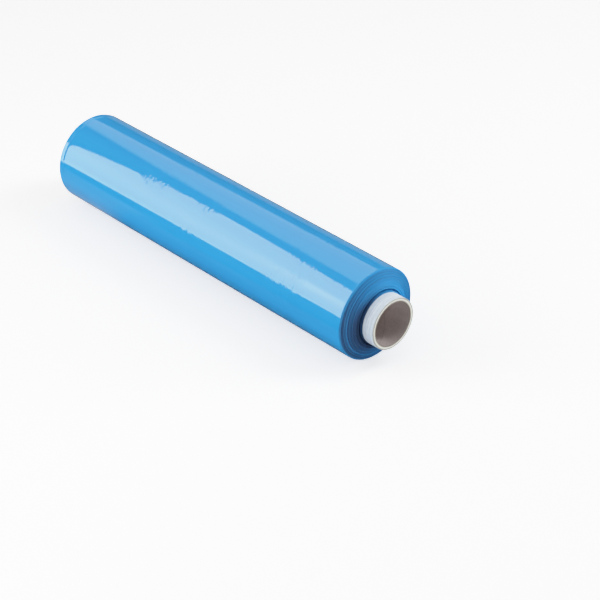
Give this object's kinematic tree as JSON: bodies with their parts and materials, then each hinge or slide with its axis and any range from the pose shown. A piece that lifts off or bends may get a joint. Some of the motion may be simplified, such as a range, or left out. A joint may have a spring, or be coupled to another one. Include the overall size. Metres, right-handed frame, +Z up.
{
  "type": "stretch wrap roll",
  "caption": "Hand roll of blue glossy stretch film, tightly wound on a paperboard core that stands out at both ends, lying on its side.",
  "frame": {"origin": "middle of the core's bore, on the roll's axis", "axes": "+X along the roll's axis towards its near end, +Z up, +Y to the far side"},
  "size_m": [0.527, 0.106, 0.1055],
  "materials": {
    "core_board": "matt white-grey paperboard, cream at the cut ends, grey-brown inside the bore",
    "stretch_film": "glossy translucent blue polyethylene film, fine rings of turns on the ends"
  },
  "bodies": {
    "root": {"core_tube": "core_board", "film_roll": "stretch_film"}
  },
  "joints": []
}
